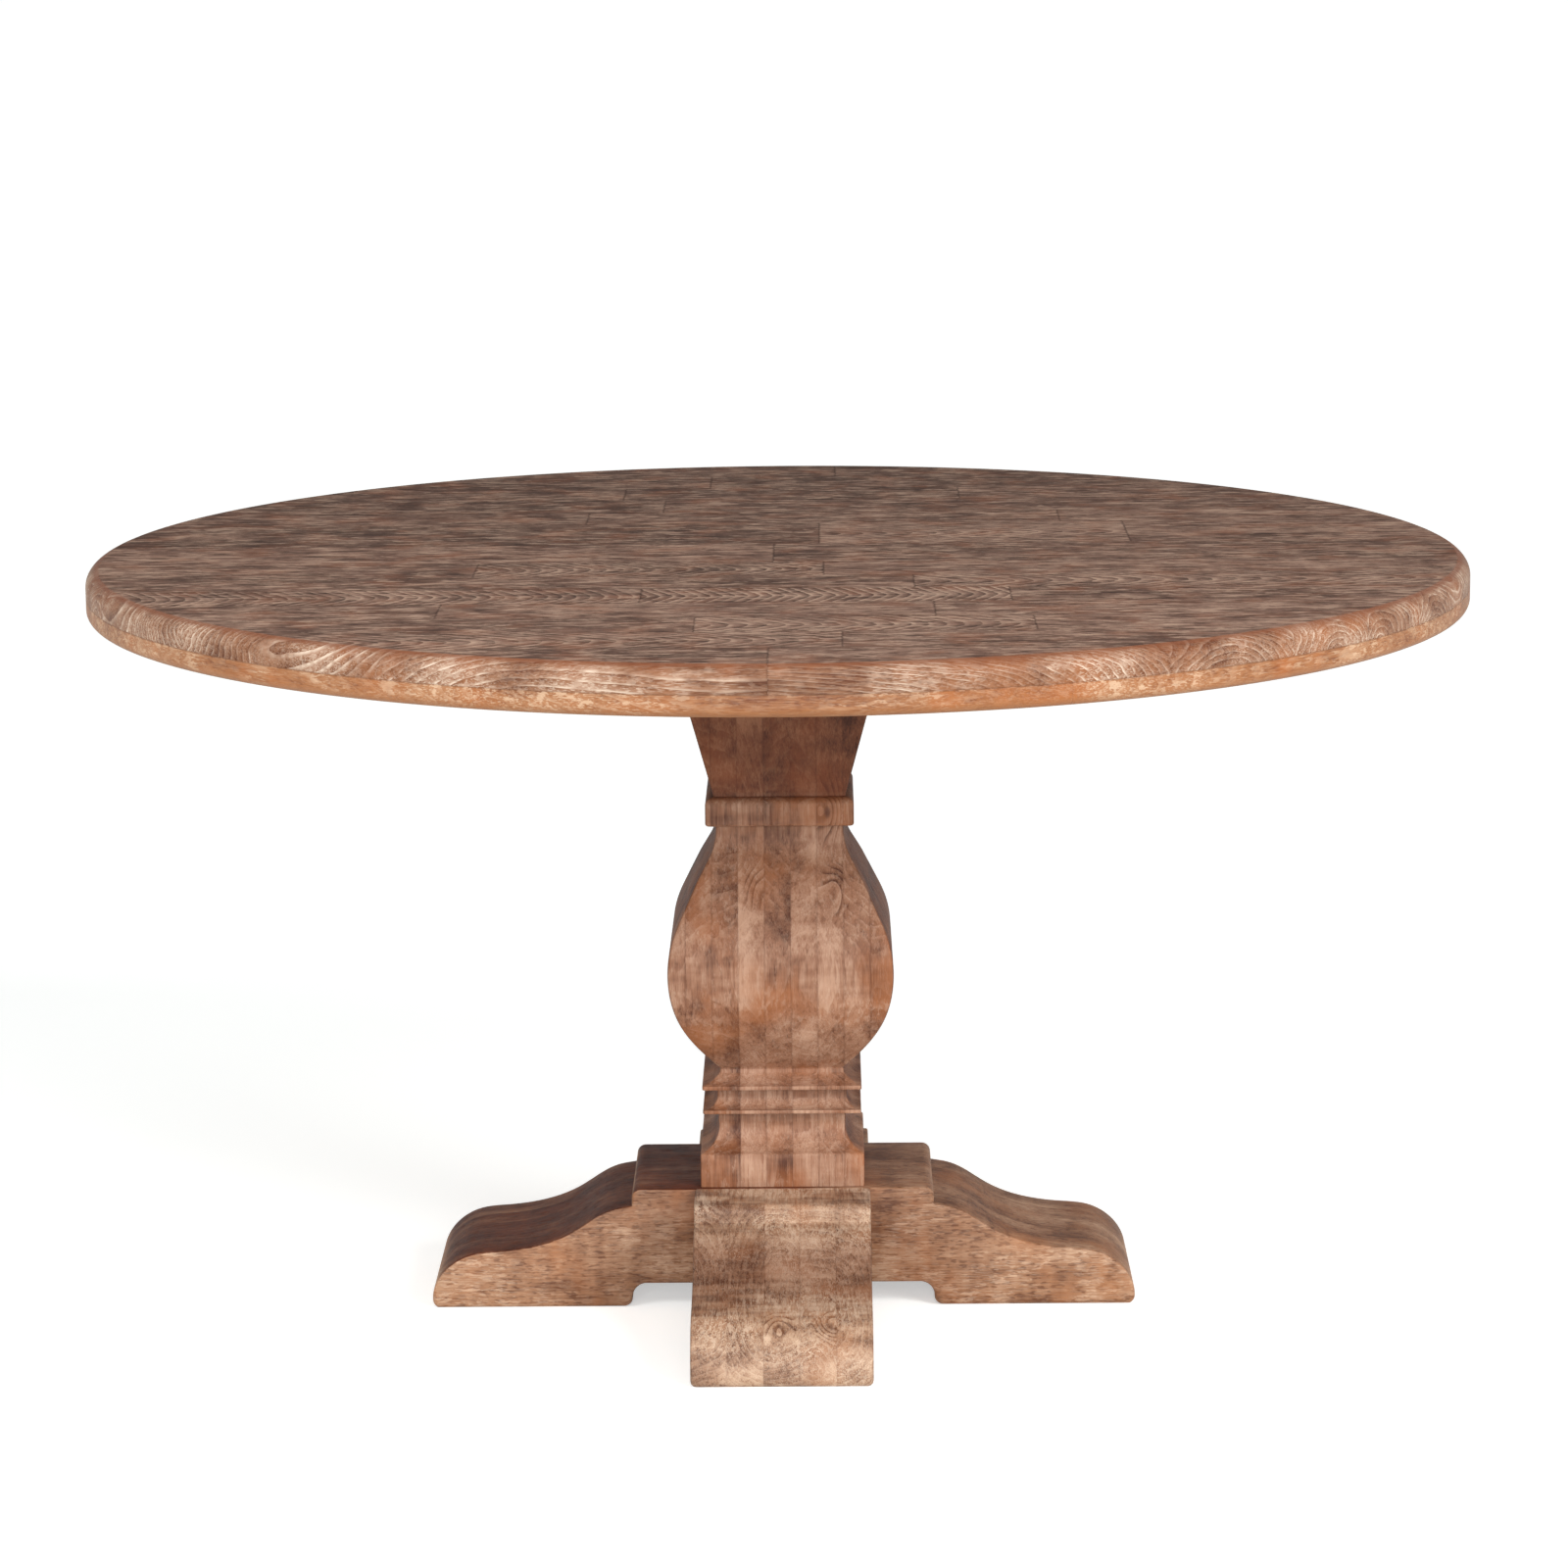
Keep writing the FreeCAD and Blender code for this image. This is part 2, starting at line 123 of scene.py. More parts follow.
def solid_boxes(node):
    """The lowest and highest corner of each solid, from left to right, where the solids stand apart."""
    mesh = merged_copy(node)
    left = set(mesh.verts)
    boxes = []
    while left:
        heap = [left.pop()]
        found = []
        while heap:
            vert = heap.pop()
            found.append(vert.co.copy())
            near = [edge.other_vert(vert) for edge in vert.link_edges]
            heap += [other for other in near if other in left]
            left.difference_update(near)
        low = Vector([min(co[i] for co in found) for i in range(3)])
        high = Vector([max(co[i] for co in found) for i in range(3)])
        boxes.append((low, high))
    mesh.free()
    return sorted(boxes, key=lambda box: box[0].x)


def stave_boxes(node):
    """The same for the staves of a strip, which touch: a joint has an end face on either side."""
    faces = frame["nodes"][node].data.polygons
    ends = [{round(face.center.x, 4) for face in faces if face.normal.x * way > FACING}
            for way in (-1, 1)]
    low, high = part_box(node)
    places = [low.x] + sorted(ends[0] & ends[1]) + [high.x]
    return [(Vector((left, low.y, low.z)), Vector((right, high.y, high.z)))
            for left, right in zip(places, places[1:])]


def flat_side(node, way):
    """The corners of a node's largest flat face that looks a given way, in order."""
    mesh = merged_copy(node)
    bmesh.ops.dissolve_limit(mesh, angle_limit=FLAT, verts=mesh.verts, edges=mesh.edges)
    facing = [face for face in mesh.faces if face.normal.dot(way) > FACING]
    face = max(facing, key=lambda f: f.calc_area())
    corners = [loop.vert.co.copy() for loop in face.loops]
    mesh.free()
    return corners


strips = sorted(node for node in frame["nodes"] if node.startswith("top_strip"))
print(len(strips), "strips with", sum(len(stave_boxes(node)) for node in strips), "staves")

# %% [markdown]
# ## Arithmetic with shader sockets
# Procedural wood is mostly arithmetic, and a node graph hides arithmetic well. The class below wraps
# an output socket, so that `1 - mask * 0.5` adds the Math nodes it needs. Every other node comes from
# one method, `add`, which takes a node's type, its settings, and the values or links of its sockets.

# %% Wrap sockets
class Socket:
    """An output socket that takes part in Python arithmetic."""

    def __init__(self, graph, socket):
        self.graph = graph
        self.socket = socket

    def math(self, operation, *values):
        return self.graph.add("ShaderNodeMath", {"operation": operation}, dict(enumerate(values)))

    def __add__(self, other):
        return self.math("ADD", self, other)

    def __sub__(self, other):
        return self.math("SUBTRACT", self, other)

    def __mul__(self, other):
        return self.math("MULTIPLY", self, other)

    def __truediv__(self, other):
        return self.math("DIVIDE", self, other)

    def __rsub__(self, other):
        return self.math("SUBTRACT", other, self)

    __radd__ = __add__

    def clamp(self):
        return self.math("MINIMUM", self.math("MAXIMUM", self, 0.0), 1.0)

    def step(self, low, high):
        """A smooth rise from 0 at low to 1 at high."""
        settings = {"interpolation_type": "SMOOTHSTEP"}
        inputs = {"Value": self, "From Min": low, "From Max": high}
        return self.graph.add("ShaderNodeMapRange", settings, inputs)


class Graph:
    """The node tree of one new material."""

    def __init__(self, name):
        self.material = bpy.data.materials.new(name)
        self.material.use_nodes = True
        self.tree = self.material.node_tree
        self.shader = self.tree.nodes["Principled BSDF"]

    def set(self, socket, value):
        if isinstance(value, Socket):
            self.tree.links.new(value.socket, socket)
        else:
            socket.default_value = value

    def add(self, kind, settings, inputs, output=0):
        """Adds a node: its settings first, then the values or links of its inputs."""
        node = self.tree.nodes.new(kind)
        for key, value in settings.items():
            setattr(node, key, value)
        for key, value in inputs.items():
            self.set(node.inputs[key], value)
        return Socket(self, node.outputs[output])

    def mix(self, factor, a, b, blend="MIX"):
        """Mixes two colours by a factor from 0 to 1."""
        settings = {"data_type": "RGBA", "blend_type": blend}
        return self.add("ShaderNodeMix", settings, {0: factor, 6: a, 7: b}, output=2)

    def finish(self, **sockets):
        """Sets or links sockets of the shader, and gives back the material."""
        for key, value in sockets.items():
            self.set(self.shader.inputs[key.replace("_", " ").title()], value)
        return self.material


print("shader helpers ready")

# %% [markdown]
# ## What wood looks like, as numbers
# A board is a slice of a tree, so its figure is a solid pattern: rings round a pith that wanders
# slowly along the board. A flat-sawn face then shows cathedrals, a quarter-sawn face stripes, and the
# end of the board arcs, all from the same rings. The finish lies over that. Lime was rubbed into the
# pores, and the stain was wiped unevenly across the boards, so its clouds cross the glue lines. Each
# finish below is a set of colours and a weight for each layer. A joint's weight is how dark the thin
# line along a glue joint is.

# %% Describe the finishes
def srgb(red, green, blue):
    """A display colour from 0 to 255 as linear RGBA."""
    channels = [c / 255 for c in (red, green, blue)]
    return tuple(c / 12.92 if c < 0.04 else ((c + 0.055) / 1.055) ** 2.4 for c in channels) + (1,)


FINISHES = {
    "stain": {"dark": srgb(60, 40, 33), "middle": srgb(114, 85, 72), "light": srgb(158, 128, 110),
              "warm": srgb(122, 76, 54), "lime": srgb(192, 162, 140), "ring": 0.55, "pore": 0.30,
              "fleck": 0.45, "speck": 0.25, "pit": 0.10, "streak": 0.90, "patch": 0.9, "cloud": 0.30,
              "strand": 0.2, "band": 0.10, "rough": 0.60, "gloss": 0.08},
    "rim": {"dark": srgb(88, 52, 36), "middle": srgb(136, 98, 75), "light": srgb(164, 132, 111),
            "warm": srgb(148, 94, 60), "lime": srgb(214, 194, 174), "ring": 0.80, "pore": 0.45,
            "fleck": 0.30, "speck": 0.30, "pit": 0.00, "streak": 0.45, "patch": 0.8, "cloud": 0.70,
            "strand": 0.3, "band": 0.10, "rough": 0.34},
    "edge": {"dark": srgb(104, 56, 30), "middle": srgb(146, 96, 60), "light": srgb(168, 120, 84),
             "warm": srgb(162, 94, 46), "lime": srgb(206, 176, 146), "ring": 0.35, "pore": 0.45,
             "fleck": 0.60, "speck": 0.45, "pit": 0.00, "streak": 0.40, "patch": 0.8, "cloud": 0.50,
             "strand": 0.3, "band": 0.10, "rough": 0.38, "gloss": 0.40},
    "column": {"dark": srgb(80, 46, 33), "middle": srgb(140, 98, 75), "light": srgb(178, 140, 116),
               "warm": srgb(156, 96, 58), "lime": srgb(204, 174, 152), "ring": 0.26, "pore": 0.12,
               "fleck": 0.26, "speck": 0.05, "pit": 0.12, "streak": 0.26, "patch": 1.7, "cloud": 0.60,
               "strand": 0.45, "band": 0.35, "joint": 0.32, "rough": 0.46, "gloss": 0.20},
    "base": {"dark": srgb(98, 60, 38), "middle": srgb(154, 112, 82), "light": srgb(190, 154, 124),
             "warm": srgb(170, 110, 66), "lime": srgb(216, 188, 162), "ring": 0.12, "pore": 0.40,
             "fleck": 0.35, "speck": 0.80, "pit": 0.15, "streak": 0.40, "patch": 1.2, "cloud": 0.70,
             "strand": 0.3, "band": 0.30, "joint": 0.20, "rough": 0.46, "gloss": 0.30},
    "foot": {"dark": srgb(98, 64, 46), "middle": srgb(156, 121, 96), "light": srgb(194, 164, 138),
             "warm": srgb(158, 108, 74), "lime": srgb(222, 198, 174), "ring": 0.45, "pore": 0.60,
             "fleck": 0.45, "speck": 0.20, "pit": 0.10, "streak": 0.40, "patch": 1.0, "cloud": 0.50,
             "strand": 0.6, "band": 0.90, "joint": 0.25, "rough": 0.48, "gloss": 0.30},
    "plain": {"dark": srgb(126, 98, 72), "middle": srgb(158, 128, 96), "light": srgb(182, 152, 118),
              "warm": srgb(160, 118, 78), "lime": srgb(190, 164, 132), "ring": 0.45, "pore": 0.15,
              "fleck": 0.10, "speck": 0.10, "pit": 0.15, "streak": 0.30, "patch": 1.0, "cloud": 0.30,
              "strand": 0.3, "band": 0.10, "rough": 0.62, "gloss": 0.30},
}
print("finishes:", ", ".join(FINISHES))

# %% [markdown]
# The pattern comes in two halves. `Grain` works out where the rings, pores, bands and clouds are, and
# `coat` paints them in a finish. They are apart because the staves of the top need one grain in two
# finishes: the top face is stained dark, and the rim was sanded back to tan. A knot is a place where
# the ring count is pushed up smoothly, so that the rings close round it as an eye. The three numbers
# of each noise are its features per metre: first along the board, then in the two ways across it.

# %% Grow the grain
LONG = {"x": (0, 0, 0), "y": (0, 0, -math.pi / 2), "z": (0, math.pi / 2, 0)}


class Grain:
    """Masks from 0 to 1 of one board's grain, with the place they are worked out at."""

    EYE_SWELL = 2.8        # rings that close round a knot
    EYE_SQUASH = 0.45      # how much longer than wide its eye is

    def __init__(self, graph, board, turn, knots=()):
        self.graph = graph
        self.place = graph.add("ShaderNodeTexCoord", {}, {}, output=3)
        self.axes = self.parts(self.place)
        to_middle = Euler(turn).to_matrix() @ -board["middle"] + Vector((0, *board["pith"]))
        inputs = {"Vector": self.place, "Rotation": turn, "Location": to_middle}
        self.board = graph.add("ShaderNodeMapping", {}, inputs)
        self.own = self.vector("ADD", self.board, (board["seed"], board["seed"] * 0.7, 3.0))
        self.band = self.noise((85, 9, 9), 2.0)
        self.rings(board, turn, knots)
        self.pore = self.noise((70, 900, 900), 1.0).step(0.50, 0.68)
        self.fleck = self.noise((52, 210, 210), 3.0, 0.7).step(0.53, 0.60)
        self.streak = self.noise((20, 90, 90), 5.0, 0.8)
        self.speck = self.noise((120, 420, 420), 1.0).step(0.52, 0.66)
        self.fibre = self.noise((24, 1300, 1300), 0.0)
        self.strand = 1 - self.noise((11, 330, 330), 2.0, 0.6).step(0.36, 0.47)
        self.cloud = self.noise_at(self.place, (13, 13, 17), 4.0, 0.60)
        self.patch = self.noise((5, 26, 26), 3.0, 0.6)
        self.warmth = self.noise_at(self.place, (20, 22, 13), 3.0)

    def parts(self, vector):
        """A vector's three components."""
        first = self.graph.add("ShaderNodeSeparateXYZ", {}, {0: vector})
        return [Socket(self.graph, output) for output in first.socket.node.outputs]

    def facing(self, axis):
        """How squarely the surface faces along an axis, from -1 to 1."""
        return self.parts(self.graph.add("ShaderNodeTexCoord", {}, {}, output=1))[axis]

    def rings(self, board, turn, knots):
        """Growth rings, whose count swells round each knot."""
        across = self.vector("MULTIPLY", self.board, (0, 1, 1))
        along = self.parts(self.board)[0]
        wander = self.noise((1.4, 6, 6), 3.0) * 0.050 * board["wander"]
        wander = wander + self.noise((9, 60, 60), 2.0) * 0.006
        radius = self.vector("LENGTH", across, output=1)
        count = (radius + wander + along * board["taper"]) / board["gap"]
        self.knotty = bool(knots)
        length = Euler(turn).to_matrix().inverted() @ Vector((1, 0, 0))
        squash = [1 - self.EYE_SQUASH * abs(part) for part in length]
        self.core = self.swell = self.band * 0.0
        for x, y, z, size in knots:
            offset = self.vector("SUBTRACT", self.place, (x, y, z))
            away = self.vector("LENGTH", self.vector("MULTIPLY", offset, squash), output=1)
            swell = 1 - away.step(0, size * 2.6)
            count = count + swell * self.EYE_SWELL
            self.swell = self.swell.math("MAXIMUM", self.swell, swell.step(0.0, 0.3))
            self.core = self.core.math("MAXIMUM", self.core, 1 - away.step(size * 0.10, size * 0.45))
        phase = count.math("FRACT", count)
        broken = self.noise((34, 210, 210), 1.0).step(0.38, 0.60)
        unbroken = 0.25 + 0.7 * board["figure"]
        pale = 1 - phase.step(0.04 + 0.2 * board["figure"], 0.34 + 0.25 * board["figure"])
        self.ring = pale * (broken * (1 - unbroken) + unbroken)
        self.late = phase.step(0.45, 0.97)

    def vector(self, operation, a, b=None, output=0):
        """Vector arithmetic on one or two vectors."""
        inputs = {0: a} if b is None else {0: a, 1: b}
        return self.graph.add("ShaderNodeVectorMath", {"operation": operation}, inputs, output)

    def noise_at(self, place, scale, detail=2.0, rough=0.5):
        """Noise with its own scale along each axis."""
        inputs = {"Vector": self.vector("MULTIPLY", place, scale), "Scale": 1.0,
                  "Detail": detail, "Roughness": rough}
        return self.graph.add("ShaderNodeTexNoise", {}, inputs)

    def noise(self, scale, detail=2.0, rough=0.5):
        """Noise that follows the board and differs from board to board."""
        return self.noise_at(self.own, scale, detail, rough)

    def joints(self, cuts, width=0.0016):
        """Thin lines along glue joints; each cut is an axis and the joint's place on it."""
        line = None
        for axis, place in cuts:
            offset = self.axes[axis] - place
            near = 1 - offset.math("ABSOLUTE", offset).step(0.0003, width)
            line = near if line is None else line.math("MAXIMUM", line, near)
        return line * (self.fleck * -0.5 + 0.75)


# %% Paint the grain in a finish
MIDDLE_TONE = 0.58         # on the scale from dark through middle to light
RELIEF = 0.0004            # depth of the relief, in metres
RELIEF_STRENGTH = 0.6


def coat(grain, finish, tone, figure=0.0):
    """The colour of a grain in one finish. A tone above 0 is lighter; figure makes the rings bolder."""
    look, mix = FINISHES[finish], grain.graph.mix
    depth = (grain.patch - 0.5) * look["patch"] + (grain.cloud - 0.5) * (look["cloud"] * 2.2)
    depth = depth + (grain.streak - 0.5) * (look["streak"] * 2.6) + (grain.fibre - 0.5) * 0.4
    depth = depth - grain.streak.step(0.54, 0.62) * (look["streak"] * 0.35)
    depth = depth + (grain.band - 0.5) * (look["band"] * 1.8) - grain.strand * (look["strand"] * 0.4)
    depth = depth - grain.late * (grain.swell * 0.45 + look["ring"] * 0.3 + figure * 0.6)
    depth = depth - grain.speck * (look["speck"] * 0.45) - grain.pore * look["pit"]
    depth = depth + (tone + MIDDLE_TONE)
    colour = mix((depth * 2).clamp(), look["dark"], look["middle"])
    colour = mix((depth * 2 - 1).clamp(), colour, look["light"])
    colour = mix(grain.warmth.step(0.45, 0.75) * 0.65, colour, look["warm"])
    patchy = grain.cloud.step(0.40, 0.62) * (0.75 - 0.7 * figure) + 0.25 + 0.7 * figure
    limed_rings = grain.ring * (look["ring"] + 0.35 * figure)
    lime = limed_rings.math("MAXIMUM", limed_rings, grain.fleck * look["fleck"])
    lime = lime.math("MAXIMUM", lime, grain.pore * look["pore"]) * patchy
    colour = mix(lime.clamp(), colour, look["lime"])
    return mix(grain.core * 0.75, colour, look["dark"]) if grain.knotty else colour


def surface(grain, colour, look):
    """Roughness and relief shared by every wood: pores and flecks are slightly sunk, flecks and clouds less
    glossy.
    """
    height = grain.pore * -0.5 + grain.fleck * -0.3 + grain.fibre * 0.2 + grain.band * 0.25
    relief = {"Height": height, "Distance": RELIEF, "Strength": RELIEF_STRENGTH}
    bump = grain.graph.add("ShaderNodeBump", {}, relief)
    dull = grain.fleck * 0.14 + grain.cloud * 0.16 + (look["rough"] - 0.08)
    grain.graph.shader.inputs["Specular IOR Level"].default_value = look["gloss"]
    return grain.graph.finish(base_color=colour, roughness=dull, normal=bump)


def jointed_coat(grain, finish, board, cuts):
    """A board's colour in one finish, with a thin dark line along each glue joint."""
    look = FINISHES[finish]
    colour = coat(grain, finish, board["tone"])
    return grain.graph.mix(grain.joints(cuts) * look["joint"], colour, look["dark"])


print("wood ready")

# %% [markdown]
# Boards in a glued panel are turned and swapped so that no two neighbours match. The seeded draw
# below gives each board its own pith, ring width, stretch of tree and tone, and gives the same set
# every time the script runs.

# %% Draw a board at random
FULL_TURN = 2 * math.pi
draw = random.Random(11)


def random_board(low, high, spread=0.12):
    """A board that fills a box: where in its tree it was cut, and how light it is."""
    angle = draw.uniform(0, FULL_TURN)
    distance = draw.uniform(0.01, 0.08)
    pith = (distance * math.cos(angle), distance * math.sin(angle))
    return {"middle": (low + high) / 2, "pith": pith, "seed": draw.uniform(0, 90),
            "gap": draw.uniform(0.0045, 0.0075), "taper": draw.uniform(-0.06, 0.06),
            "tone": draw.uniform(-spread, spread), "wander": 1.0, "figure": 0.0}


print("first board:", random_board(Vector(), Vector()))

# %% [markdown]
# ## The top's upper layer
# The upper layer is a disc of strips that run from left to right, most of them butted from two or
# three staves. One way is to model each stave; the rim's round would then have to match from stave to
# stave. It is easier to do as the joiner does: make the whole disc by spinning its section, then saw
# it into staves with `bisect_plane`. Each stave closes its own cuts, and its edges are eased by a
# fraction of a millimetre, so the joints show as hairlines.

# %% Spin the disc
TOP_ROUND = 0.017      # radius of the round along the top edge
ROUND_DROP = 0.0165    # its height: a little less than its radius, so the flat ends in an arris
ROUND_STEPS = 14
SPIN_STEPS = 256
SPUN_FLAT = math.radians(0.05)     # far less than the turn between two spun faces

top_low, top_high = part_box("top_strip_08")
rim_radius = -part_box("top_strip_01")[0].y
round_turn = math.asin(ROUND_DROP / TOP_ROUND)
arris_radius = rim_radius - TOP_ROUND * (1 - math.cos(round_turn))


def spin_section(points, angle, steps):
    """Spins a section, given as (radius, height) points, round the table's axis."""
    mesh = bmesh.new()
    verts = [mesh.verts.new((radius, 0, height)) for radius, height in points]
    edges = [mesh.edges.new(pair) for pair in zip(verts, verts[1:])]
    bmesh.ops.spin(mesh, geom=verts + edges, cent=(0, 0, 0), axis=(0, 0, 1), angle=angle,
                   steps=steps, use_merge=angle == FULL_TURN)
    return mesh


def arc(radius, height, size, first, last):
    """Points of a round in a section, from one angle to another."""
    turns = [first + (last - first) * i / ROUND_STEPS for i in range(ROUND_STEPS + 1)]
    return [(radius + size * math.cos(t), height + size * math.sin(t)) for t in turns]


def disc():
    """The whole upper layer before it is sawn."""
    section = [(0, top_low.z), (rim_radius, top_low.z)]
    section += arc(rim_radius - TOP_ROUND, top_high.z - ROUND_DROP, TOP_ROUND, 0.0, round_turn)
    section.append((0, top_high.z))
    mesh = spin_section(section, FULL_TURN, SPIN_STEPS)
    bmesh.ops.remove_doubles(mesh, verts=mesh.verts, dist=SAME_PLACE)
    bmesh.ops.dissolve_limit(mesh, angle_limit=SPUN_FLAT, verts=mesh.verts, edges=mesh.edges)
    return mesh


blank = disc()
print("disc:", len(blank.faces), "faces, radius", round(rim_radius, 4))


# %% Saw, close and ease
HAIR = 0.0002
SHARP_TURN = math.radians(60)
ON_PLANE = 1e-7        # points this close to the saw's plane lie on it


def saw(mesh, point, way):
    """Cuts off what lies beyond a plane and closes the cut."""
    geometry = list(mesh.verts) + list(mesh.edges) + list(mesh.faces)
    cut = bmesh.ops.bisect_plane(mesh, geom=geometry, plane_co=point, plane_no=way,
                                 clear_outer=True, dist=ON_PLANE)
    edges = [item for item in cut["geom_cut"] if isinstance(item, bmesh.types.BMEdge)]
    if edges:
        bmesh.ops.holes_fill(mesh, edges=edges, sides=0)


def saw_out(mesh, low, high, axes):
    """Saws a copy of a blank down to a box, across the given axes only."""
    piece = mesh.copy()
    for axis in axes:
        way = Vector([1.0 if i == axis else 0.0 for i in range(3)])
        saw(piece, high, way)
        saw(piece, low, -way)
    return piece


def bevel(mesh, parts, offset, segments, affect="EDGES"):
    """Rounds the given edges or corners."""
    bmesh.ops.bevel(mesh, geom=parts, offset=offset, affect=affect, segments=segments,
                    profile=0.5, material=-1)


def ease(mesh):
    """Takes a hair off every edge that turns sharply."""
    inner = [edge for edge in mesh.edges if len(edge.link_faces) == 2]
    bevel(mesh, [edge for edge in inner if edge.calc_face_angle(0) > SHARP_TURN], HAIR, 1)


print("saw ready")

# %% [markdown]
# The staves need both finishes. Inside the arris the face is stained; beyond it the round has been
# sanded back, with a ragged border a millimetre or so wide. Just under the arris some of the stain is
# left as reddish patches. A thin dark line follows each glue joint, where stain gathered, and the
# butted ends of the staves show in the same way.
#
# Each strip's staves are named from the left by their tone. The strips run from the front to the back,
# and the tones darken towards the back: partly the boards' own tones, partly painted shade, since the
# back of the top lies further from the front lights. Seven staves are flat-sawn boards with a bold
# figure, and are listed with the slope at which the rings run out of the board. A steep slope
# packs the cathedrals close together, as chevrons.

# %% Make the staves
TONES = {"dark": -0.28, "dim": -0.14, "even": 0.0, "pale": 0.08}
# Tones of the staves, front strip first; the darkening towards the back strips is partly painted shade.
STAVE_TONES_AND_SHADE = [
    "dim even", "even dim", "dim even pale", "dim even even", "even even dim", "dim even",
    "dim dim even", "even dim", "dark pale even", "dim dim even", "dark dim", "dark dark dim",
    "dark dark", "dark dark",
]
DASH_PALE, DASH_DARK = srgb(174, 146, 126), srgb(58, 39, 32)
LEFT_STAIN = srgb(118, 68, 44)
JOINT_STAIN = srgb(50, 32, 26)
END_LINE = 0.0020          # half the width of an end joint's line


def stave_wood(name, board, cuts, ends):
    """Stained on top, tan on the rim and below."""
    grain = Grain(Graph(name), board, LONG["x"])
    flat = grain.vector("MULTIPLY", grain.place, (1, 1, 0))
    radius = grain.vector("LENGTH", flat, output=1)
    ragged = radius + (grain.fleck + grain.patch) * 0.0012
    inside = 1 - ragged.step(arris_radius - 0.0005, arris_radius + 0.0022)
    height, mix = grain.axes[2], grain.graph.mix
    stained = inside * height.step(top_high.z - 0.003, top_high.z - 0.001)
    top = coat(grain, "stain", board["tone"], board["figure"])
    dash = grain.noise((30, 120, 120), 3.0, 0.65)
    top = mix(dash.step(0.55, 0.61) * 0.55, top, DASH_PALE)
    top = mix((1 - dash.step(0.38, 0.44)) * 0.65, top, DASH_DARK)
    rim = coat(grain, "rim", board["tone"] * 0.5)
    patches = height.step(top_high.z - 0.011, top_high.z) * grain.warmth.step(0.42, 0.62)
    under_arris = height.step(top_high.z - 0.004, top_high.z - 0.001)
    rim = mix(patches.math("MAXIMUM", patches, under_arris) * 0.7, rim, LEFT_STAIN)
    colour = mix(stained, rim, top)
    colour = mix(grain.joints(cuts) * (stained * 0.6 + 0.2), colour, JOINT_STAIN)
    if ends:
        colour = mix(grain.joints(ends, END_LINE) * (stained * 0.35 + 0.3), colour, JOINT_STAIN)
    sanded, matt = FINISHES["rim"]["rough"], FINISHES["stain"]["rough"]
    look = dict(FINISHES["stain"], rough=sanded + stained * (matt - sanded))
    return surface(grain, colour, look)


FIGURED = {"top_stave_05_2": 2.1, "top_stave_05_1": 1.3, "top_stave_07_2": 0.9,
           "top_stave_03_2": 0.7, "top_stave_06_2": 0.5, "top_stave_09_2": 0.35,
           "top_stave_02_1": 0.5}
BOLD = 2.0                 # a slope above this makes chevrons


def figured_board(board, slope):
    """A flat-sawn board whose rings run out at a slope."""
    bold = slope > BOLD
    return {**board, "pith": (0.004, -0.008 if bold else -0.030), "taper": slope, "wander": 0.9,
            "gap": 0.006 + 0.009 * slope, "figure": 0.48 if bold else 0.35}


for node, tones in zip(strips, STAVE_TONES_AND_SHADE):
    boxes = stave_boxes(node)
    for index, ((low, high), tone) in enumerate(zip(boxes, tones.split()), 1):
        stave = saw_out(blank, low, high, axes=(1, 0))
        ease(stave)
        name = node.replace("strip", "stave") + f"_{index}"
        board = {**random_board(low, high), "tone": TONES[tone]}
        if name in FIGURED:
            board = figured_board(board, FIGURED[name])
        cuts = [(1, low.y), (1, high.y), (2, low.z)]
        ends = [(0, low.x)] if index > 1 else []
        ends += [(0, high.x)] if index < len(boxes) else []
        finish_piece(stave, name, node, stave_wood(name, board, cuts, ends), sharp=8.0)
blank.free()
print("staves done")

# %% [markdown]
# ## The top's edge ring
# Under the rim, eight sawn segments thicken the edge. Each is a section spun through its share of
# the circle. Its grain runs straight along the segment, not round the curve, because it was sawn from
# a straight board, so each material is turned to the chord of its segment.

# %% Spin the edge ring
BOTTOM_ROUND = 0.009
SEGMENTS = 8
BARE_ORANGE, RING_JOINT = srgb(156, 98, 52), srgb(70, 42, 28)

ring_low, ring_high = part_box("edge_ring_segment_1")
ring_share = FULL_TURN / SEGMENTS
ring_inner = -ring_high.y / math.cos(ring_share / 2)


def ring_segment(start):
    """One segment of the edge ring, from an angle onwards."""
    section = [(ring_inner, ring_high.z), (ring_inner, ring_low.z)]
    section += arc(rim_radius - BOTTOM_ROUND, ring_low.z + BOTTOM_ROUND, BOTTOM_ROUND,
                   -math.pi / 2, 0.0)
    section += [(rim_radius, ring_high.z), (ring_inner, ring_high.z)]
    mesh = spin_section(section, ring_share, SPIN_STEPS // SEGMENTS)
    bmesh.ops.remove_doubles(mesh, verts=mesh.verts, dist=SAME_PLACE)
    bmesh.ops.holes_fill(mesh, edges=[edge for edge in mesh.edges if edge.is_boundary], sides=0)
    bmesh.ops.recalc_face_normals(mesh, faces=mesh.faces)
    turn = Matrix.Rotation(start, 3, "Z")
    bmesh.ops.rotate(mesh, verts=mesh.verts, cent=(0, 0, 0), matrix=turn)
    ease(mesh)
    return mesh


def ring_wood(name, board, turn):
    """Limed near the glue line, and a clean orange towards the bottom."""
    grain = Grain(Graph(name), board, turn)
    colour = coat(grain, "edge", board["tone"])
    height = grain.axes[2] + (grain.cloud - 0.5) * 0.012
    bare = 1 - height.step(ring_low.z + 0.002, ring_low.z + 0.011)
    colour = grain.graph.mix(bare * 0.6, colour, BARE_ORANGE)
    colour = grain.graph.mix(grain.joints([(2, ring_high.z)]) * 0.5, colour, RING_JOINT)
    return surface(grain, colour, FINISHES["edge"])


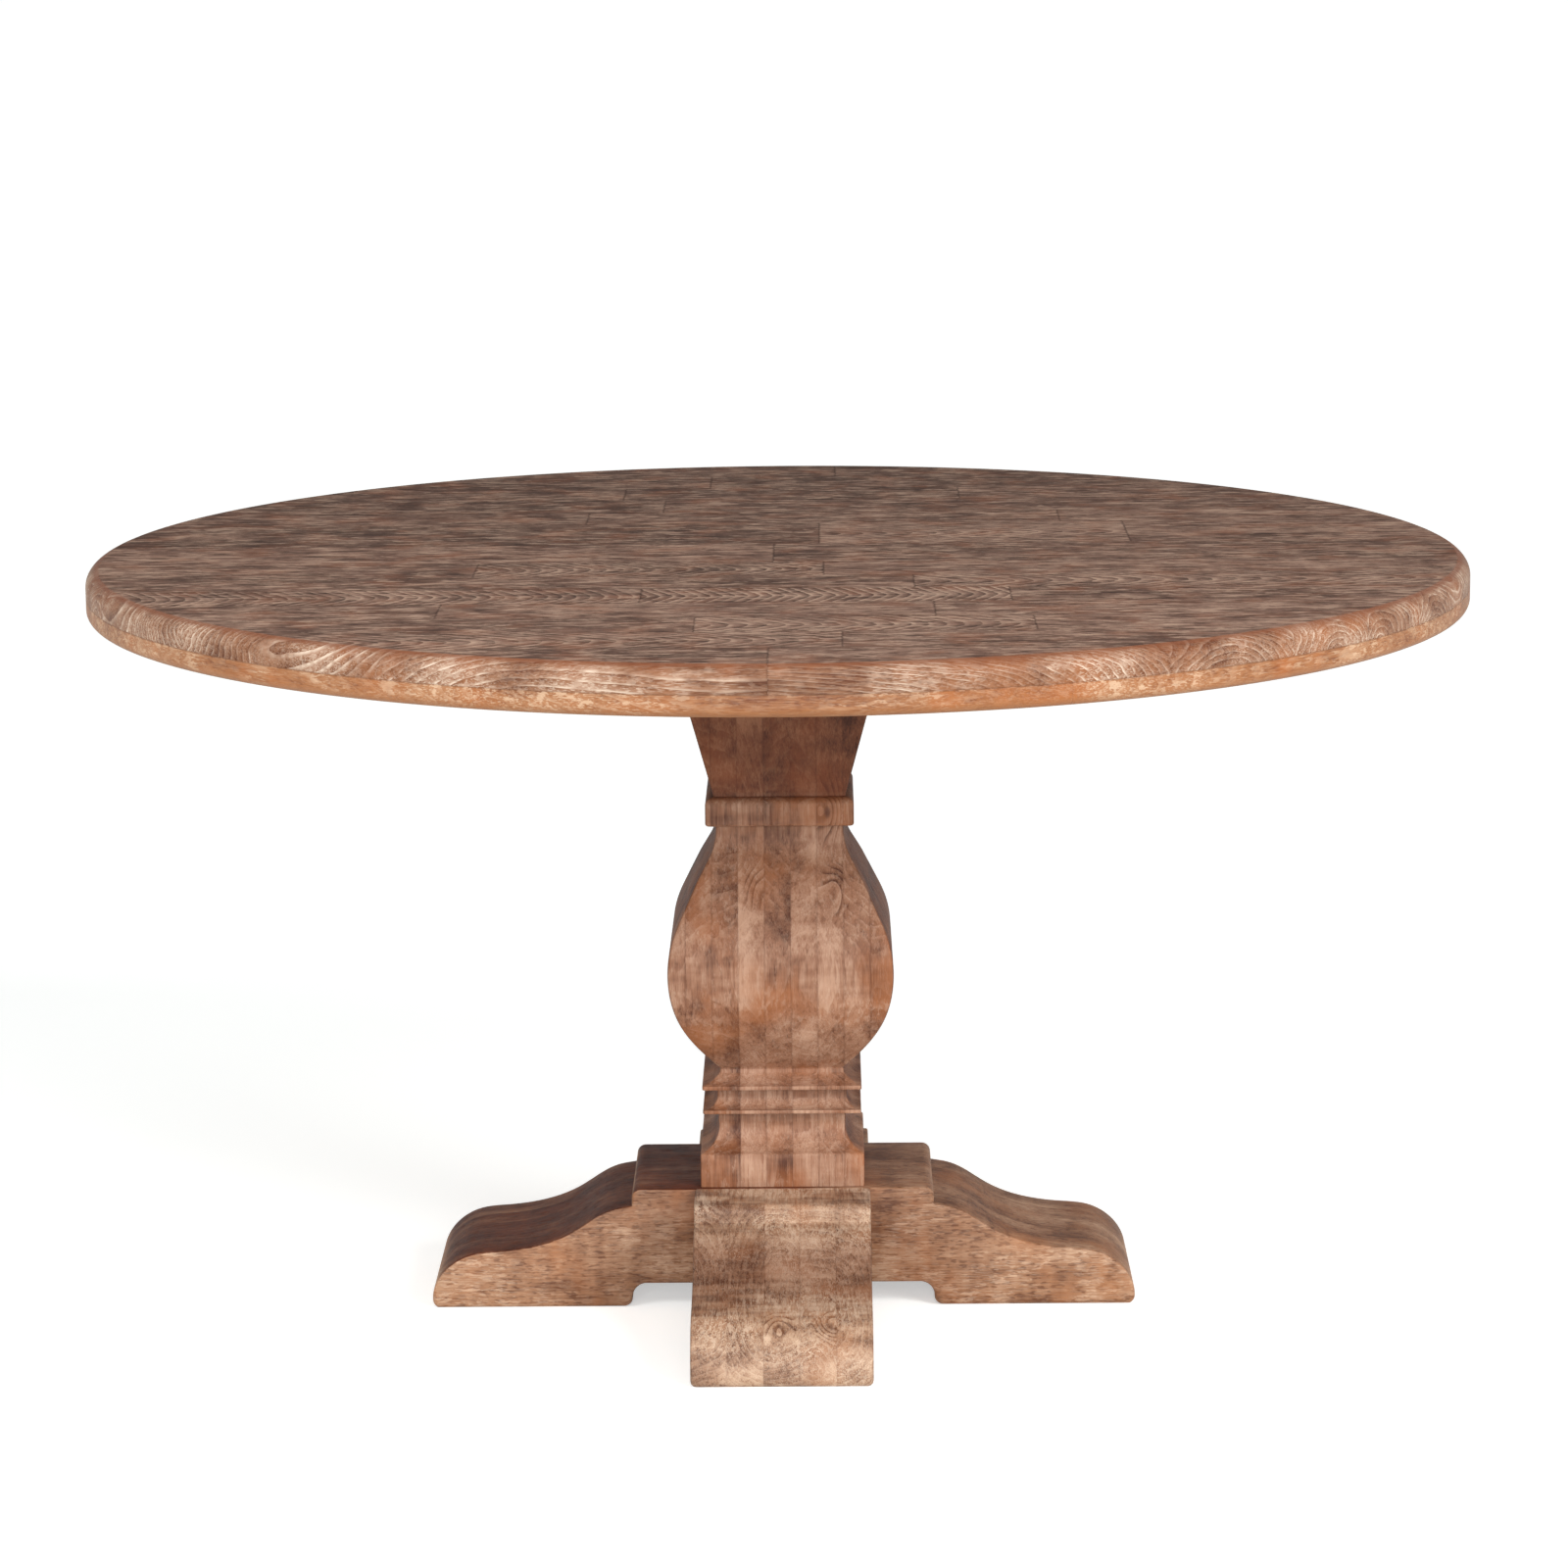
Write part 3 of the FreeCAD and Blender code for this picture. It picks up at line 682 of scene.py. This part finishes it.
for number in range(1, SEGMENTS + 1):
    middle = -math.pi / 2 + (number - 1) * ring_share
    name = f"edge_ring_segment_{number}"
    along_chord = (0, 0, -(middle + math.pi / 2))
    material = ring_wood(name, random_board(*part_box(name), 0.08), along_chord)
    finish_piece(ring_segment(middle - ring_share / 2), name + "_shaped", name, material, sharp=20.0)
print("edge ring done, inner radius", round(ring_inner, 3))

# %% [markdown]
# ## Outlines with corners and curves
# The outline of the column and of the feet comes from the frame as short straight runs. Between two
# true corners those runs stand for a curve, so extra points are put on a smooth curve through them.
# True corners are left alone.

# %% Smooth the runs of an outline
CORNER = math.radians(28)
EXTRA_POINTS = 3       # between two points of a curve
LONG_RUN = 3.0         # a run this many times longer than the next one is straight


def turn_at(points, i):
    """How sharply an outline turns at one of its points."""
    before = points[i] - points[i - 1]
    after = points[(i + 1) % len(points)] - points[i]
    return before.angle(after, 0.0)


def smooth_runs(points):
    """Adds points on a smooth curve between the corners of a closed outline."""
    count = len(points)
    corner = [turn_at(points, i) > CORNER for i in range(count)]
    out = []
    for i in range(count):
        a, b = points[i], points[(i + 1) % count]
        before = a if corner[i] else points[i - 1]
        after = b if corner[(i + 1) % count] else points[(i + 2) % count]
        out.append(a)
        if before is a and after is b:
            continue
        slope_a, slope_b = tangent(before, a, b), tangent(a, b, after)
        length = (b - a).length
        for k in range(1, EXTRA_POINTS + 1):
            share = k / (EXTRA_POINTS + 1)
            out.append(hermite(a, b, slope_a * length, slope_b * length, share))
    return out


def tangent(before, here, after):
    """The way a curve runs at a point: along a long straight run, or between its neighbours."""
    if before is here:
        return (after - here).normalized()
    if after is here:
        return (here - before).normalized()
    back, ahead = here - before, after - here
    if max(back.length, ahead.length) > LONG_RUN * min(back.length, ahead.length):
        return max(back, ahead, key=lambda run: run.length).normalized()
    return (back / back.length_squared + ahead / ahead.length_squared).normalized()


def hermite(a, b, slope_a, slope_b, t):
    """A point between a and b on the cubic with the given slopes."""
    s = 1 - t
    return (a * (s * s * (1 + 2 * t)) + slope_a * (t * s * s)
            + b * (t * t * (1 + 2 * s)) - slope_b * (s * t * t))


print("outline helpers ready")

# %% [markdown]
# ## The column
# The column is square at every height, and all four sides follow one outline. It can be lofted: start
# with a square with slightly rounded corners, extrude its edge upwards again and again, and scale
# each new level to the outline. The rounded corners then run up the whole column as soft arrises, as
# hand sanding leaves them. The block is sawn into its boards afterwards. The neck and the two sides
# are painted darker, as shade: the neck lies under the top's overhang, and the sides face away from
# the front lights.

# %% Loft the column
ARRIS = 0.028          # corner round, as a part of the half-width
MOULDING_EASE = 0.0007
MOULDING_TURN = math.radians(35)

middle_side = smooth_runs(flat_side("column_board_5", Vector((-1, 0, 0))))
front_half = [point for point in middle_side if point.y < 0]
start = min(range(len(front_half)), key=lambda i: front_half[i].z - front_half[i].y)
outline = front_half[start:] + front_half[:start]
if outline[1].z > outline[-1].z + 0.5:
    outline = [outline[0]] + outline[:0:-1]
levels = [(-point.y, point.z) for point in outline]
print(len(levels), "levels, the first at", [round(v, 4) for v in levels[0]])


def column_block():
    """The whole column as one closed block."""
    mesh = bmesh.new()
    bmesh.ops.create_circle(mesh, cap_ends=False, radius=math.sqrt(2), segments=4,
                            matrix=Matrix.Rotation(math.pi / 4, 4, "Z"))
    bevel(mesh, mesh.verts[:], ARRIS, 4, affect="VERTICES")
    edges = mesh.edges[:]
    width, height = 1.0, 0.0
    for half, z in levels:
        if width != 1.0:
            grown = bmesh.ops.extrude_edge_only(mesh, edges=edges)["geom"]
            edges = [item for item in grown if isinstance(item, bmesh.types.BMEdge)]
        verts = list({vert for edge in edges for vert in edge.verts})
        bmesh.ops.scale(mesh, verts=verts, vec=(half / width, half / width, 1))
        bmesh.ops.translate(mesh, verts=verts, vec=(0, 0, z - height))
        width, height = half, z
    bmesh.ops.holes_fill(mesh, edges=[edge for edge in mesh.edges if edge.is_boundary], sides=0)
    bmesh.ops.recalc_face_normals(mesh, faces=mesh.faces)
    level = [edge for edge in mesh.edges
             if abs(edge.verts[0].co.z - edge.verts[1].co.z) < SAME_PLACE]
    sharp = [edge for edge in level if edge.calc_face_angle(0) > MOULDING_TURN]
    bevel(mesh, sharp, MOULDING_EASE, 2)
    return mesh


# Painted shade: the neck under the top's overhang, and the two sides that face away from the lights.
NECK_AND_SIDE_SHADE = (0.55, 0.37, 0.27, 1)
NECK_SHADE_FADE = (0.518, 0.530)     # heights between which the neck's painted shade sets in
COLUMN_KNOTS = [(0.050, -0.089, 0.693, 0.008), (0.048, -0.0745, 0.509, 0.010),
                (-0.022, -0.095, 0.452, 0.010), (0.056, -0.092, 0.440, 0.009)]


def column_wood(name, board, knots, cuts):
    """Column boards, with painted shade on the neck under the top and on the two sides."""
    grain = Grain(Graph(name), board, LONG["z"], knots)
    colour = jointed_coat(grain, "column", board, cuts)
    # Painted shade: the neck darkens under the top, and the two sides that face away from the front lights.
    neck_shade = grain.axes[2].step(*NECK_SHADE_FADE) * 0.95
    side = grain.facing(0)
    side = side.math("ABSOLUTE", side).step(0.5, 0.9) * 0.85
    stain = neck_shade.math("MAXIMUM", neck_shade, side)
    return surface(grain, grain.graph.mix(stain, colour, NECK_AND_SIDE_SHADE, "MULTIPLY"), FINISHES["column"])


block = column_block()
for number in range(1, 10):
    node = f"column_board_{number}"
    low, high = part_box(node)
    board = saw_out(block, low, high, axes=(0,))
    cuts = [(0, low.x), (0, high.x)]
    knots = [knot for knot in COLUMN_KNOTS if low.x < knot[0] < high.x]
    material = column_wood(node, random_board(low, high, 0.16), knots, cuts)
    finish_piece(board, node + "_shaped", node, material)
block.free()
print("column done")

# %% [markdown]
# ## The rails and feet
# Each rail is five boards, and each board is a sawn outline pushed through its thickness. Only the
# outermost boards have an edge that hands and shoes reach, so only they are rounded there. Three
# boards of the front rail have recesses for bolt heads, which can be seen from below. They are drilled
# with a Boolean modifier. The upward faces of the side rail get painted shade, as under the top, most
# of all on its left, where the column's shadow falls. The side rail also darkens close round the
# column, and the front rail in a band across the middle of its foot; both are partly stain and partly
# painted shade.

# %% Run a modifier on a bmesh
def modified(mesh, kind, **settings):
    """A new bmesh: the given one after a modifier with these settings."""
    data = bpy.data.meshes.new("work")
    mesh.to_mesh(data)
    mesh.free()
    work = bpy.data.objects.new("work", data)
    bpy.context.scene.collection.objects.link(work)
    modifier = work.modifiers.new(kind, kind)
    for key, value in settings.items():
        setattr(modifier, key, value)
    result = bmesh.new()
    result.from_object(work, bpy.context.evaluated_depsgraph_get())
    bpy.data.objects.remove(work)
    bpy.data.meshes.remove(data)
    return result


print("modifier helper ready")

# %% Shape the rails
EDGE_ROUND = 0.0055        # round along the sole
TOP_SHARE = 0.4            # the other long edges get this share of it
SOLE_FADE = 0.030          # height over which one round turns into the other
DRILL_RADIUS = 0.013
DRILL_SIDES = 48
DRILLED = (2, 3, 4)        # boards of the front rail
# Tint for painted shade on the side rail's upward faces, and for stain and painted shade near the column.
RAIL_STAIN_AND_SHADE = (0.29, 0.15, 0.11, 1)
TOE_KNOTS = [(-0.003, -0.325, 0.052, 0.008), (0.048, -0.325, 0.052, 0.008)]
RAILS = (("side_rail", 1, LONG["x"], "base"), ("front_rail", 0, LONG["y"], "foot"))

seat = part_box("base_washers")[1].z
bolts = [((low + high) / 2).to_2d() for low, high in solid_boxes("base_bolts")]


def rail_board(node, across, number):
    """One board of a rail; across is the axis of its thickness."""
    low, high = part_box(node)
    way = Vector([-1.0 if i == across else 0.0 for i in range(3)])
    outline = smooth_runs(flat_side(node, way))
    mesh = bmesh.new()
    face = mesh.faces.new([mesh.verts.new(point) for point in outline])
    pushed = bmesh.ops.extrude_face_region(mesh, geom=[face])["geom"]
    verts = [item for item in pushed if isinstance(item, bmesh.types.BMVert)]
    bmesh.ops.translate(mesh, verts=verts, vec=-way * (high[across] - low[across]))
    bmesh.ops.recalc_face_normals(mesh, faces=mesh.faces)
    outer = {1: low[across], 5: high[across]}.get(number)
    if outer is None:
        return mesh
    weight = mesh.edges.layers.float.new("bevel_weight_edge")
    for edge in mesh.edges:
        if all(abs(vert.co[across] - outer) < SAME_PLACE for vert in edge.verts):
            height = max(vert.co.z for vert in edge.verts)
            edge[weight] = TOP_SHARE + (1 - TOP_SHARE) * max(0.0, 1 - height / SOLE_FADE)
    return modified(mesh, "BEVEL", limit_method="WEIGHT", width=EDGE_ROUND, segments=3,
                    use_clamp_overlap=False)


def drill(mesh):
    """Bores the recesses of the bolt heads up into a board from below."""
    cutter = bmesh.new()
    for place in bolts:
        at = Matrix.Translation((*place, seat / 2))
        bmesh.ops.create_cone(cutter, cap_ends=True, segments=DRILL_SIDES, radius1=DRILL_RADIUS,
                              radius2=DRILL_RADIUS, depth=seat, matrix=at)
    data = bpy.data.meshes.new("drill")
    cutter.to_mesh(data)
    cutter.free()
    bit = bpy.data.objects.new("drill", data)
    bpy.context.scene.collection.objects.link(bit)
    drilled = modified(mesh, "BOOLEAN", object=bit, operation="DIFFERENCE", solver="EXACT")
    bpy.data.objects.remove(bit)
    bpy.data.meshes.remove(data)
    return drilled


def rail_wood(name, finish, board, turn, knots, cuts):
    """Rail boards, with painted shade on the upward faces of the side rail, and darker near the column and
    across the front foot's middle, partly stain and partly painted shade.
    """
    grain = Grain(Graph(name), board, turn, knots)
    colour = jointed_coat(grain, finish, board, cuts)
    along = grain.axes[0] if finish == "base" else grain.axes[1]
    along = along.math("ABSOLUTE", along)
    if finish == "base":
        # Near the column the side rail darkens: partly stain, partly painted shade.
        stain = (1 - along.step(0.12, 0.26)) * 0.3
        # Painted shade on the upward faces, as under the top, streaked by the patch noise.
        top = grain.facing(2).step(0.35, 0.75) * ((0.5 - grain.patch) * 1.6 + 0.95)
        # Less of this painted shade to the right: the left block's top gets the painted shadow of the column.
        top = top * (1 - grain.axes[0].step(0.0, 0.12) * 0.65)
        stain = stain.math("MAXIMUM", stain, top)
    else:
        # A darker band across the middle of the front foot: partly stain, partly painted shade.
        stain = along.step(0.15, 0.21) * (1 - along.step(0.22, 0.32)) * 0.6
    colour = grain.graph.mix(stain.clamp(), colour, RAIL_STAIN_AND_SHADE, "MULTIPLY")
    return surface(grain, colour, FINISHES[finish])


for rail, across, turn, finish in RAILS:
    for number in range(1, 6):
        node = f"{rail}_board_{number}"
        low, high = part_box(node)
        cuts = [(across, low[across]), (across, high[across])]
        knots = [knot for knot in TOE_KNOTS if across == 0 and low.x < knot[0] < high.x]
        material = rail_wood(node, finish, random_board(low, high, 0.08), turn, knots, cuts)
        board = rail_board(node, across, number)
        if across == 0 and number in DRILLED:
            board = drill(board)
        finish_piece(board, node + "_shaped", node, material)
print("rails done")

# %% [markdown]
# ## What is underneath
# The plate, the cleats and the fasteners are plain shapes that the engineering model already has
# right, so they keep their meshes and get only a finish: bare planed wood, zinc and brass.

# %% Finish the hidden parts
def metal(name, colour, rough):
    """Plated metal with a fine mottle."""
    graph = Graph(name)
    place = graph.add("ShaderNodeTexCoord", {}, {}, output=3)
    mottle = graph.add("ShaderNodeTexNoise", {}, {"Vector": place, "Scale": 900.0, "Detail": 3.0})
    tint = graph.mix(mottle, tuple(0.75 * c for c in colour[:3]) + (1,), colour)
    return graph.finish(base_color=tint, roughness=mottle * 0.3 + rough, metallic=1.0)


def dress(node, material):
    """Gives a CAD node its finish."""
    piece = frame["nodes"][node]
    piece.data.materials.clear()
    piece.data.materials.append(material)


for node in ("top_cleat_left", "top_cleat_right", "pedestal_top_plate"):
    board = random_board(*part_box(node))
    grain = Grain(Graph(node), board, LONG["y"])
    dress(node, surface(grain, coat(grain, "plain", board["tone"]), FINISHES["plain"]))
metals = {"zinc_steel": metal("zinc", srgb(176, 178, 180), 0.25),
          "insert_brass": metal("brass", srgb(200, 168, 96), 0.25)}
for node, slot in slot_of.items():
    if slot in metals:
        dress(node, metals[slot])
print("hidden parts done")

# %% [markdown]
# ## Floor, light and camera
# The table stands on a pale floor in a white studio. Two broad lights stand low: a key from the front
# right, and a fill from straight ahead that reaches the faces the front foot would shade. The front
# faces then glow while the tops of the side feet stay dark under the top. A softbox hangs in front and
# opens the table top, and two small ones, left and right, draw the sheen on the rim. These hang high
# enough for the top to keep their light off the column. The floor glows a little for the eye of any
# camera, so that it reads as white paper, but it doesn't light the underside of the table.

# %% Lay the floor
FLOOR_HALF = 60.0
FLOOR_GLOW = 0.47

floor_mesh = bmesh.new()
bmesh.ops.create_grid(floor_mesh, x_segments=1, y_segments=1, size=FLOOR_HALF)
floor_data = bpy.data.meshes.new("floor")
floor_mesh.to_mesh(floor_data)
floor_mesh.free()
floor = bpy.data.objects.new("floor", floor_data)
bpy.context.scene.collection.objects.link(floor)
floor_graph = Graph("floor")
floor_graph.shader.inputs["Emission Strength"].default_value = FLOOR_GLOW
seen = floor_graph.add("ShaderNodeLightPath", {}, {})     # 1 where it is looked at directly
paper = floor_graph.finish(base_color=srgb(242, 245, 243), roughness=0.9, emission_color=seen)
floor_data.materials.append(paper)
floor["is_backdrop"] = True
print("floor:", 2 * FLOOR_HALF, "m wide")

# %% Light the studio
WORLD_LIGHT = 0.33


def turned(axis, degrees):
    """A turn about one axis."""
    return Matrix.Rotation(math.radians(degrees), 4, axis)


def place_light(light, matrix):
    """Hangs a light at a place, with a turn."""
    lamp = bpy.data.objects.new(light.name, light)
    lamp.matrix_world = matrix
    bpy.context.scene.collection.objects.link(lamp)


def sun(name, azimuth, elevation, strength, spread):
    """A very soft distant light; azimuth 0 comes from the front, 90 from the right."""
    light = bpy.data.lights.new(name, "SUN")
    light.energy = strength
    light.angle = math.radians(spread)
    place_light(light, turned("Z", azimuth) @ turned("X", 90 - elevation))


def softbox(name, place, target, size, power):
    """A square area light that looks at a target."""
    light = bpy.data.lights.new(name, "AREA")
    light.size = size
    light.energy = power
    turn = (Vector(target) - Vector(place)).to_track_quat("-Z", "Y").to_matrix().to_4x4()
    place_light(light, Matrix.Translation(place) @ turn)


world = bpy.data.worlds.new("studio")
world.use_nodes = True
background = world.node_tree.nodes["Background"]
background.inputs["Color"].default_value = (1, 1, 1, 1)
background.inputs["Strength"].default_value = WORLD_LIGHT
bpy.context.scene.world = world
bpy.context.scene.view_settings.view_transform = "Standard"
sun("key", azimuth=46, elevation=24, strength=1.45, spread=26)
sun("fill", azimuth=-3, elevation=12, strength=1.45, spread=34)
softbox("top_box", (0.2, -1.6, 2.4), target=(0.0, -0.2, 0.76), size=1.8, power=15)
softbox("left_box", (-1.6, -1.4, 1.65), target=(-0.5, -0.45, 0.74), size=0.8, power=21)
softbox("right_box", (1.7, -1.4, 1.65), target=(0.5, -0.45, 0.74), size=0.8, power=18)
print("lights:", ", ".join(light.name for light in bpy.data.lights))

# %% Place the camera
CAMERA_DISTANCE = 4.914
CAMERA_HEIGHT = 1.4754
CAMERA_AZIMUTH = 0.5      # degrees to the right of straight in front
CAMERA_TILT = 10.96       # degrees down
CAMERA_ROLL = -0.51
CAMERA_PAN = -0.05        # degrees to the left of the table's axis; below 0 is to the right
CAMERA_LENS = 113.3       # millimetres
SENSOR_WIDTH = 36.0

camera_data = bpy.data.cameras.new("camera")
camera_data.sensor_width = SENSOR_WIDTH
camera_data.lens = CAMERA_LENS
camera_data.clip_end = 200.0
camera = bpy.data.objects.new("camera", camera_data)
bpy.context.scene.collection.objects.link(camera)
stand = turned("Z", CAMERA_AZIMUTH) @ Matrix.Translation((0, -CAMERA_DISTANCE, CAMERA_HEIGHT))
aim = turned("Z", CAMERA_PAN) @ turned("X", 90 - CAMERA_TILT) @ turned("Z", CAMERA_ROLL)
camera.matrix_world = stand @ aim
bpy.context.scene.camera = camera
print("camera at", [round(v, 3) for v in camera.matrix_world.translation])

# %% [markdown]
# ## The sizes
# Both boxes, of the design and of the looks, are printed side by side. The looks may
# not grow past the design.

# %% Print the sizes
boxes = {"cad": [list(corner) for corner in cad_bounds], "visual": [list(corner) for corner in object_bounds()]}
print(boxes)
